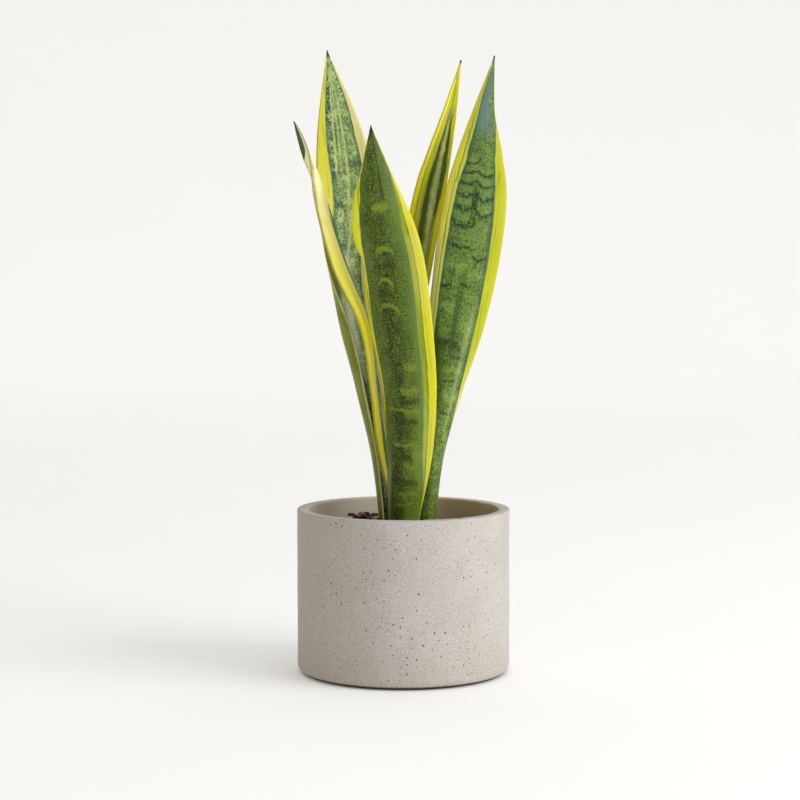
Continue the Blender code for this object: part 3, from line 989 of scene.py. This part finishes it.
def build_leaf(name, piece_name, material, seed):
    """A leaf piece: the sheet with a fleshy middle, thin edges and a thin tip."""
    sheet = leaf_sheet(name, seed)
    fullness = []
    across_layer = sheet.verts.layers.float["across"]
    along_layer = sheet.verts.layers.float["along"]
    for vert in sheet.verts:
        middle = math.sqrt(max(0.0, 1.0 - vert[across_layer] ** 2))
        fullness.append(middle * min(1.0, TIP_TAPER * (1.0 - vert[along_layer])))
    piece = add_piece(piece_name, sheet, material)
    group = piece.vertex_groups.new(name="fullness")
    for index, value in enumerate(fullness):
        group.add([index], value, "REPLACE")
    solidify = piece.modifiers.new("flesh", "SOLIDIFY")
    solidify.thickness = LEAF_THICKNESS
    solidify.offset = 0.0
    solidify.use_even_offset = False
    solidify.vertex_group = "fullness"
    solidify.thickness_vertex_group = LEAF_EDGE_SHARE
    belongs(piece, "leaf_green", name)
    return piece


# %% [markdown]
# ## Leaf finish
#
# All five leaves share one recipe and differ in its values. From the bottom layer up: a green that
# changes along the leaf, a darker middle (on the narrow leaf a painted pale sheen), a light mottle, the
# marks and scalloped lines across the blade, fine speckle, a bluer green beside the margins, pale and
# dark lengthwise stripes, some of which are painted sheen and painted shade, then the two margins, in
# places brightened as painted light, and last the dark awl at the tip. The blade's flat map is read in
# millimetres, so speckles keep their real size on every leaf. The surface is waxy: fairly smooth, with a
# fine lengthwise grain.


# %% Margin layer
MARGIN_WOBBLE = 0.16
INNER_SOFTNESS = 0.05
THIN_LINE_SHARE = 0.85
GREEN_STREAKS, GREEN_FROM = (0.5, 0.64), (0.2, 0.6)
RIM_AT = (0.14, 0.04)
MARGIN_END = (1.04, 0.93)


def margin_layer(finish, under, nearness, fields, dress):
    """Lay one margin over the blade. Nearness is 0 at the edge and 1 where the margin ends."""
    wobble, rise, patch, streak = fields
    nearness = finish.math("MULTIPLY_ADD", wobble, MARGIN_WOBBLE, nearness)
    height = finish.step(rise, *dress["turn"])
    body = finish.mix(height, dress["low"], dress["high"])
    line_at = dress["line"]
    if line_at:
        inner_strip = finish.step(nearness, line_at - INNER_SOFTNESS, line_at + INNER_SOFTNESS)
        body = finish.mix(inner_strip, body, dress["inner"])
        thin = finish.near(nearness, line_at, LINE_WIDTH)
        body = finish.mix(finish.times(thin, THIN_LINE_SHARE), body, LINE_GREEN)
    pale_cover, green_cover = dress["patches"]
    body = finish.mix(finish.times(patch, pale_cover), body, dress["pale"])
    streaked = finish.step(streak, *GREEN_STREAKS)
    green_patch = finish.times(streaked, finish.step(nearness, *GREEN_FROM))
    body = finish.mix(finish.times(green_patch, green_cover), body, LINE_GREEN)
    rim = finish.mix(height, dress["low_rim"], dress["rim_colour"])
    body = finish.mix(finish.step(nearness, *RIM_AT, 0.0, dress["rim"]), body, rim)
    return finish.mix(finish.step(nearness, *MARGIN_END), under, body)


# %% Marks across the blade
MARK_FADE = (1.3, 0.5)
COLUMN_FADE = (1.35, 0.9)
COLUMN_RAGGED = 0.3
LINE_BAND, FILL_BAND = (0.3, 0.46), (0.3, 0.12)


def across_share(finish, x, middle, reach):
    """The square of the distance from a mark's middle, as a share of its reach."""
    away = finish.math("MULTIPLY_ADD", x, 1.0 / reach, -middle / reach)
    return finish.times(away, away)


def cross_mark(finish, x, y, mark):
    """One mark across the blade: its middle, height, reach, thickness and arch, all in mm."""
    middle, height, reach, thickness, arch = mark
    square = across_share(finish, x, middle, reach)
    level = finish.math("MULTIPLY_ADD", square, arch, y)
    band = finish.near(level, height, thickness)
    return finish.times(band, finish.step(square, *MARK_FADE))


def scallop_column(finish, x, y, ragged, column):
    """Hanging arcs one above the other: the strength of their dark lines, and of the light inside."""
    middle, reach, lowest, highest, pitch, sag = column
    square = across_share(finish, x, middle, reach)
    level = finish.math("SUBTRACT", finish.math("MULTIPLY_ADD", square, -sag, y), lowest)
    row = finish.math("FRACT", finish.math("DIVIDE", level, pitch))
    row = finish.math("MULTIPLY_ADD", ragged, COLUMN_RAGGED, row)
    lowness = finish.math("ABSOLUTE", finish.math("SUBTRACT", row, 0.5))
    line = finish.step(lowness, *LINE_BAND)
    fill = finish.step(lowness, *FILL_BAND)
    window = finish.times(finish.step(square, *COLUMN_FADE), finish.step(level, -pitch * 0.5, 0.0))
    window = finish.times(window, finish.step(level, highest - lowest + pitch, highest - lowest))
    return finish.times(line, window), finish.times(fill, window)


# %% Layers of the blade
MARK_SHIFT_X, MARK_SHIFT_Y = 7.0, 9.0
MARK_RAGGED = 1.1
SCALLOP_FILL_SHARE, SCALLOP_LINE_SHARE = 0.85, 0.9
STRIPE_WOBBLE = 0.1
STRIPE_STREAKS = (0.38, 0.6)
STRIPE_THIN_SHARE = 0.45
STRIPE_END = 0.04


def lay_marks(finish, colour, x, y, fine, mid, dress):
    """Lay the scalloped lines and the marks across the blade, with ragged edges."""
    off = finish.math("SUBTRACT", mid, 0.5)
    loose_x = finish.math("MULTIPLY_ADD", off, MARK_SHIFT_X, x)
    loose_y = finish.math("MULTIPLY_ADD", off, MARK_SHIFT_Y, y)
    ragged = finish.times(finish.math("SUBTRACT", fine, 0.5), MARK_RAGGED)
    for column in dress.get("scallops", ()):
        line, fill = scallop_column(finish, loose_x, loose_y, ragged, column)
        fill_cover = finish.times(fill, SCALLOP_FILL_SHARE)
        colour = finish.mix(fill_cover, colour, dress["scallop_fill"])
        line_cover = finish.times(line, SCALLOP_LINE_SHARE)
        colour = finish.mix(line_cover, colour, dress["scallop_line"])
    for share, tone, marks in dress.get("marks", ()):
        over = None
        for mark in marks:
            one = cross_mark(finish, loose_x, loose_y, mark)
            over = one if over is None else finish.math("MAXIMUM", over, one)
        over = finish.step(finish.math("ADD", over, ragged), 0.25, 1.0, 0.0, share)
        colour = finish.mix(over, colour, tone)
    return colour


def lay_stripes(finish, colour, across, along, wobble, streak, stripes):
    """Lay lengthwise stripes; each has its place and reach across, its strength, ends and tone."""
    shifted = finish.math("MULTIPLY_ADD", wobble, STRIPE_WOBBLE, across)
    for at, reach, share, start, end, tone in stripes:
        strength = finish.step(streak, *STRIPE_STREAKS, STRIPE_THIN_SHARE * share, share)
        stripe = finish.times(finish.near(shifted, at, reach), strength)
        for edge, way in ((start, STRIPE_END), (end, -STRIPE_END)):
            stripe = finish.times(stripe, finish.step(along, edge - way, edge + way))
        colour = finish.mix(stripe, colour, tone)
    return colour


# %% Leaf recipe
LEAF_ROUGHNESS, LEAF_SPECULAR = 0.42, 0.22
FINE_SCALE, MID_SCALE, STREAK_SCALE, WOBBLE_SCALE, LEAF_PATCH_SCALE = 0.95, 0.16, 0.7, 0.22, 0.1
MID_STRETCH = (1.0, 0.6, 1.0)
STREAK_STRETCH = (1.0, 0.035, 1.0)
WOBBLE_STRETCH = (1.0, 0.5, 1.0)
PATCH_STRETCH = (0.6, 0.35, 1.0)
CENTRE_WOBBLE = 0.35
USUAL_GRAIN = 0.5
AGEING_SHARE = 0.14
TIP_COLOUR = shade(34, 40, 26)


def leaf_finish(name, dress):
    """The whole finish of one leaf, from its green base to its dark tip."""
    finish = Finish(name, LEAF_ROUGHNESS, LEAF_SPECULAR)
    flat = finish.node("UVMap", uv_map="blade").outputs["UV"]
    size = (1000.0 / MAP_ACROSS, 1000.0 / MAP_ALONG, 0.0)
    spot = finish.scaled(flat, size, (-500.0 / MAP_ACROSS, 0.0, dress["seed"]))
    x, y, _ = finish.split(spot)
    to_minus, to_plus, across, along = (finish.attribute(key) for key in LAYERS)

    fine = finish.noise(spot, FINE_SCALE, 2.0, 0.6)
    mid = finish.noise(finish.scaled(spot, MID_STRETCH), MID_SCALE, 4.0, 0.62)
    streak = finish.noise(finish.scaled(spot, STREAK_STRETCH), STREAK_SCALE, 3.0, 0.6)
    wobble = finish.noise(finish.scaled(spot, WOBBLE_STRETCH), WOBBLE_SCALE, 3.0)
    wobble = finish.math("SUBTRACT", wobble, 0.5)

    colour = finish.mix(finish.step(along, 0.25, 0.85), *dress["greens"])
    centre_colour, centre_share, centre_reach, centre_at = dress["centre"]
    bent = finish.math("MULTIPLY_ADD", wobble, CENTRE_WOBBLE, across)
    centre = finish.times(finish.near(bent, centre_at, centre_reach), centre_share)
    colour = finish.mix(centre, colour, centre_colour)
    light, light_share = dress["mottle"]
    mottled = finish.math("MULTIPLY_ADD", fine, 0.55, finish.times(mid, 0.75))
    colour = finish.mix(finish.step(mottled, 0.6, 0.76, 0.0, light_share), colour, light)
    colour = lay_marks(finish, colour, x, y, fine, mid, dress)

    grain = dress.get("grain", USUAL_GRAIN)
    colour = finish.mix(finish.step(fine, 0.52, 0.66, 0.0, grain), colour, dress["speckle"])
    colour = finish.mix(finish.step(fine, 0.48, 0.34, 0.0, grain), colour, dress["dark"])
    flank, flank_share = dress["flank"]
    beside = finish.math("MINIMUM", to_minus, to_plus)
    colour = finish.mix(finish.step(beside, 1.5, 1.0, 0.0, flank_share), colour, flank)
    colour = lay_stripes(finish, colour, across, along, wobble, streak, dress.get("stripes", ()))
    colour = finish.mix(finish.step(streak, 0.56, 0.72, 0.0, dress["streaks"]), colour, dress["dark"])

    patch = finish.noise(finish.scaled(spot, PATCH_STRETCH), LEAF_PATCH_SCALE)
    fields = (wobble, along, finish.step(patch, 0.46, 0.62), streak)
    colour = margin_layer(finish, colour, to_minus, fields, dress["minus"])
    colour = margin_layer(finish, colour, to_plus, fields, dress["plus"])
    colour = finish.mix(finish.step(streak, 0.5, 0.75, 0.0, AGEING_SHARE), colour, dress["dark"])
    colour = finish.mix(finish.step(along, *dress["tip"]), colour, TIP_COLOUR)
    height = finish.math("MULTIPLY_ADD", fine, 0.35, streak)
    return finish.done(colour, finish.bump(height, 0.12 * MM, 0.5))


# %% [markdown]
# Now the values. The front leaf is dark olive in the middle with light arches across it, and a painted
# sheen low on its left flank. The right leaf has dark scalloped lines on a lighter green, with painted
# shade low on its left side and a painted sheen low on its right flank. The back left leaf is blue-green
# with three pale streaks, and shows the outer side of one edge low down, with a painted highlight along
# that edge and a painted sheen and painted shadow inside the gutter beside it. The narrow leaf behind is
# dark inside with a painted pale sheen, painted shadow by its right margin and painted light shining
# through its folded right edge. The left leaf is seen almost edge on, so it shows its margin, whose
# cream upper part is made paler as painted light shining through it.
#
# Marks come in groups: a strength, a tone, and for each mark its middle, height, reach, thickness and
# arch in mm. A scallop column has its middle, reach, lowest and highest row, pitch and sag in mm. A
# stripe has its place and reach as shares of the half width, its strength, the shares of the leaf's
# length where it starts and ends, and its tone. A centre has its tone, strength, reach and place.

# %% Shared colours
YELLOW = shade(212, 204, 34)
BRIGHT_YELLOW = shade(206, 199, 16)
OLIVE_YELLOW = shade(172, 164, 22)
CREAM = shade(236, 226, 150)
LINE_GREEN = shade(76, 98, 26)
LINE_WIDTH = 0.07
PALE_YELLOW = shade(206, 202, 98)
RIM_OLIVE = shade(128, 118, 16)


def margin_dress(low, high, **changes):
    """The values of one margin; changes name the ones that differ from the usual."""
    usual = {"turn": (0.3, 0.8), "line": 0.0, "pale": PALE_YELLOW, "patches": (0.3, 0.35)}
    dress = {"low": low, "high": high, **usual, "rim": 0.35, "rim_colour": RIM_OLIVE, **changes}
    dress.setdefault("low_rim", dress["rim_colour"])
    return dress


# %% Front leaf
front = {
    "seed": 3.0,
    "greens": (shade(96, 118, 38), shade(82, 104, 40)),
    "centre": (shade(48, 60, 3), 1.0, 0.6, 0.28),
    "grain": 0.6,
    "mottle": (shade(118, 140, 46), 0.45),
    "speckle": shade(124, 146, 56),
    "dark": shade(34, 54, 18),
    "marks": (
        (0.75, shade(42, 54, 6), (
            (8.0, 175.5, 6.0, 4.5, 4.0), (6.0, 193.0, 8.0, 5.0, 3.0), (-2.0, 110.5, 8.0, 3.5, 0.0),
            (1.0, 98.0, 9.0, 5.0, 0.0), (3.0, 76.0, 8.0, 3.5, 0.0), (0.0, 62.0, 10.0, 5.0, 0.0),
        )),
        (0.9, shade(128, 150, 38), (
            (7.4, 183.0, 5.8, 3.4, 4.0), (5.0, 206.0, 6.0, 6.0, 4.0), (6.5, 168.5, 7.0, 3.0, 5.0),
            (0.0, 243.0, 6.0, 8.0, 0.0), (-3.0, 131.0, 5.0, 5.0, 0.0), (-1.0, 116.5, 6.5, 5.0, 0.0),
            (4.0, 105.0, 13.0, 2.6, 0.0), (0.0, 83.5, 11.0, 2.8, 0.0), (-7.5, 78.0, 3.5, 7.0, 0.0),
            (-3.0, 71.0, 4.5, 3.4, 0.0), (-3.0, 54.5, 8.0, 2.2, 0.0), (-2.0, 48.0, 7.0, 2.0, 0.0),
        )),
    ),
    "flank": (shade(84, 112, 66), 0.7),
    "stripes": (
        (-0.62, 0.42, 0.55, 0.78, 0.95, shade(104, 122, 78)),
        (-0.62, 0.4, 0.75, 0.2, 0.8, shade(122, 146, 62)),
        (-0.16, 0.11, 1.0, 0.8, 0.97, shade(22, 32, 10)),
        # This grey stripe low on the left flank of the foot is a painted sheen.
        (0.72, 0.2, 0.75, 0.05, 0.24, shade(150, 158, 122)),
    ),
    "streaks": 0.3,
    "minus": margin_dress(BRIGHT_YELLOW, YELLOW, line=0.64, inner=shade(146, 160, 38), rim=0.3,
                          rim_colour=shade(232, 220, 30)),
    "plus": margin_dress(shade(226, 220, 34), shade(232, 230, 40), turn=(0.62, 0.68), patches=(0.2, 0.7),
                         rim=0.3, rim_colour=shade(244, 236, 110)),
    "tip": (0.965, 0.985),
}
print("marks on the front leaf:", sum(len(marks) for _, _, marks in front["marks"]))

# %% Right leaf
right = {
    "seed": 11.0,
    "greens": (shade(84, 106, 30), shade(82, 112, 64)),
    "centre": (shade(112, 140, 52), 0.35, 0.8, -0.1),
    "mottle": (shade(128, 154, 62), 0.6),
    "speckle": shade(134, 160, 72),
    "dark": shade(30, 58, 34),
    "scallops": ((7.5, 7.5, 221.0, 275.0, 10.4, 4.2), (-6.5, 6.3, 228.5, 262.0, 10.4, 4.0)),
    "scallop_line": shade(20, 44, 28),
    "grain": 0.7,
    "scallop_fill": shade(112, 144, 62),
    "marks": (
        (0.85, shade(26, 52, 26), (
            (0.5, 238.0, 2.2, 30.0, 0.0), (6.0, 209.0, 12.0, 2.2, -3.0), (-7.0, 203.0, 6.0, 2.4, -3.0),
            (13.0, 184.0, 5.0, 2.6, 0.0), (-1.0, 186.0, 4.0, 2.4, 0.0), (5.0, 149.0, 11.0, 6.0, 3.0),
            (-6.0, 141.0, 7.0, 2.0, 0.0), (-2.0, 126.0, 6.0, 1.6, 0.0), (-3.0, 106.0, 5.0, 1.6, 0.0),
        )),
        (0.7, shade(134, 162, 70), (
            (9.0, 198.0, 9.0, 6.0, 0.0), (-8.0, 193.0, 7.0, 6.0, 0.0), (10.0, 172.0, 7.0, 7.0, 0.0),
            (-6.0, 160.0, 8.0, 8.0, 0.0), (-3.0, 133.0, 8.0, 4.0, 0.0), (-4.0, 117.0, 8.0, 6.0, 0.0),
        )),
    ),
    "flank": (shade(52, 88, 70), 0.7),
    "stripes": (
        (0.0, 0.95, 0.95, 0.84, 1.0, shade(114, 140, 132)),
        (0.05, 0.22, 0.75, 0.4, 0.52, shade(42, 68, 20)),
        # These two dark stripes low on the left side are painted shade, away from the light and next to the
        # front leaf.
        (0.75, 1.0, 1.0, 0.0, 0.42, shade(38, 64, 8)),
        (0.75, 0.9, 0.8, 0.0, 0.36, shade(38, 64, 8)),
        # This pale stripe low on the right flank is a painted sheen.
        (-0.42, 0.16, 0.4, 0.26, 0.46, shade(190, 202, 140)),
    ),
    "streaks": 0.3,
    "minus": margin_dress(shade(214, 210, 112), shade(182, 184, 8), turn=(0.3, 0.42), rim=0.5,
                          patches=(0.3, 0.4), rim_colour=shade(214, 204, 24), pale=shade(196, 196, 30)),
    "plus": margin_dress(shade(206, 206, 116), shade(232, 226, 66), turn=(0.5, 0.66), line=0.66,
                         inner=shade(206, 214, 84), rim=0.5, rim_colour=shade(246, 236, 84)),
    "tip": (0.972, 0.99),
}
print("marks on the right leaf:", sum(len(marks) for _, _, marks in right["marks"]))

# %% Narrow leaf behind
narrow = {
    "seed": 23.0,
    "greens": (shade(98, 118, 28), shade(94, 112, 22)),
    # Here the centre is a painted pale sheen down the inside of the gutter.
    "centre": (shade(224, 228, 158), 1.0, 0.32, 0.22),
    "mottle": (shade(120, 142, 44), 0.35),
    "speckle": shade(124, 146, 56),
    "dark": shade(42, 58, 10),
    "flank": (shade(66, 84, 26), 0.5),
    "stripes": (
        (-0.36, 0.06, 0.9, 0.2, 0.9, shade(190, 204, 92)),
        (-0.14, 0.1, 0.9, 0.2, 0.9, shade(56, 74, 14)),
        # This near-black stripe is painted shadow inside the gutter, beside the right margin.
        (0.5, 0.1, 1.0, 0.1, 0.92, shade(22, 32, 10)),
    ),
    "streaks": 0.5,
    "minus": margin_dress(shade(236, 226, 30), shade(238, 230, 34), line=0.5, inner=shade(204, 206, 50),
                          patches=(0.2, 0.3)),
    # The lower part of this margin is its own yellow, brightened as painted light shining through the
    # folded edge.
    "plus": margin_dress(shade(250, 240, 60), shade(228, 220, 40), turn=(0.45, 0.7), line=0.8,
                         inner=shade(190, 200, 80), rim=0.2),
    "tip": (0.98, 0.995),
}
print("stripes on the narrow leaf:", len(narrow["stripes"]))

# %% Left leaf at the back
back_left = {
    "seed": 31.0,
    "greens": (shade(108, 132, 98), shade(122, 150, 94)),
    "centre": (shade(52, 86, 70), 0.95, 0.42, -0.52),
    "mottle": (shade(200, 220, 138), 0.9),
    "speckle": shade(184, 204, 132),
    "grain": 0.6,
    "dark": shade(46, 80, 62),
    "marks": (
        (0.75, shade(46, 80, 58), (
            (9.0, 278.0, 9.0, 8.0, -2.0), (-4.0, 270.0, 9.0, 4.0, 0.0), (3.0, 240.0, 14.0, 3.0, 0.0),
            (0.0, 214.0, 12.0, 4.0, 0.0),
        )),
    ),
    "flank": (shade(60, 94, 80), 0.7),
    "stripes": (
        (-0.27, 0.08, 1.0, 0.72, 0.97, shade(212, 222, 134)),
        (-0.09, 0.06, 0.95, 0.7, 0.97, shade(212, 220, 130)),
        (0.13, 0.08, 0.9, 0.62, 0.97, shade(216, 222, 142)),
        (0.27, 0.1, 0.95, 0.44, 0.66, shade(214, 220, 146)),
        # These three stripes inside the gutter low down are a painted sheen and, to the right of it,
        # painted shadow from the fold.
        (0.24, 0.36, 0.95, 0.39, 0.56, shade(208, 214, 190)),
        (0.64, 0.32, 0.85, 0.3, 0.47, shade(34, 54, 44)),
        (0.3, 0.5, 0.95, 0.22, 0.37, shade(30, 48, 38)),
    ),
    "streaks": 0.5,
    # Low down, the pale rim along this margin's folded edge is a painted highlight.
    "minus": margin_dress(shade(122, 130, 2), shade(224, 217, 66), turn=(0.46, 0.6), rim=0.6,
                          patches=(0.15, 0.25), pale=shade(206, 204, 96), rim_colour=shade(168, 160, 50),
                          low_rim=shade(238, 234, 186)),
    "plus": margin_dress(shade(216, 212, 120), CREAM, turn=(0.4, 0.7), rim=0.1, rim_colour=CREAM,
                         pale=shade(236, 232, 190), patches=(0.6, 0.1)),
    "tip": (0.975, 0.99),
}
print("stripes on the back left leaf:", len(back_left["stripes"]))

# %% Left leaf, edge on
edge_on = {
    "seed": 43.0,
    "greens": (shade(74, 98, 32), shade(60, 84, 40)),
    "centre": (shade(58, 80, 22), 0.5, 0.6, 0.2),
    "mottle": (shade(116, 138, 52), 0.4),
    "speckle": shade(126, 148, 64),
    "dark": shade(34, 52, 16),
    "flank": (shade(62, 92, 40), 0.8),
    "streaks": 0.4,
    # The cream upper part of this margin is its own cream, made paler as painted light shining through the
    # thin margin.
    "minus": margin_dress(shade(226, 216, 38), shade(255, 248, 186), turn=(0.55, 0.86), rim=0.6,
                          patches=(0.3, 0.2), rim_colour=shade(96, 92, 26)),
    "plus": margin_dress(OLIVE_YELLOW, YELLOW),
    "tip": (0.955, 1.0),
}
print("the edge-on leaf has no marks; its margin covers most of what shows")

# %% Build the leaves
DRESSES = {
    "leaf_front_centre": ("front_leaf", front),
    "leaf_right_tall": ("right_leaf", right),
    "leaf_back_right_narrow": ("narrow_leaf", narrow),
    "leaf_back_left_tall": ("back_left_leaf", back_left),
    "leaf_left_edge_on": ("edge_on_leaf", edge_on),
}
for node, (piece_name, dress) in DRESSES.items():
    material = leaf_finish(piece_name + "_skin", dress)
    build_leaf(node, piece_name, material, dress["seed"])

# %% [markdown]
# ## Finish
#
# The visual size of the finished model is printed, so it can be held against the imported model's size.

# %% Measure and finish
low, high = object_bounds()
print("visual size in mm:", [round(v / MM, 1) for v in high - low])
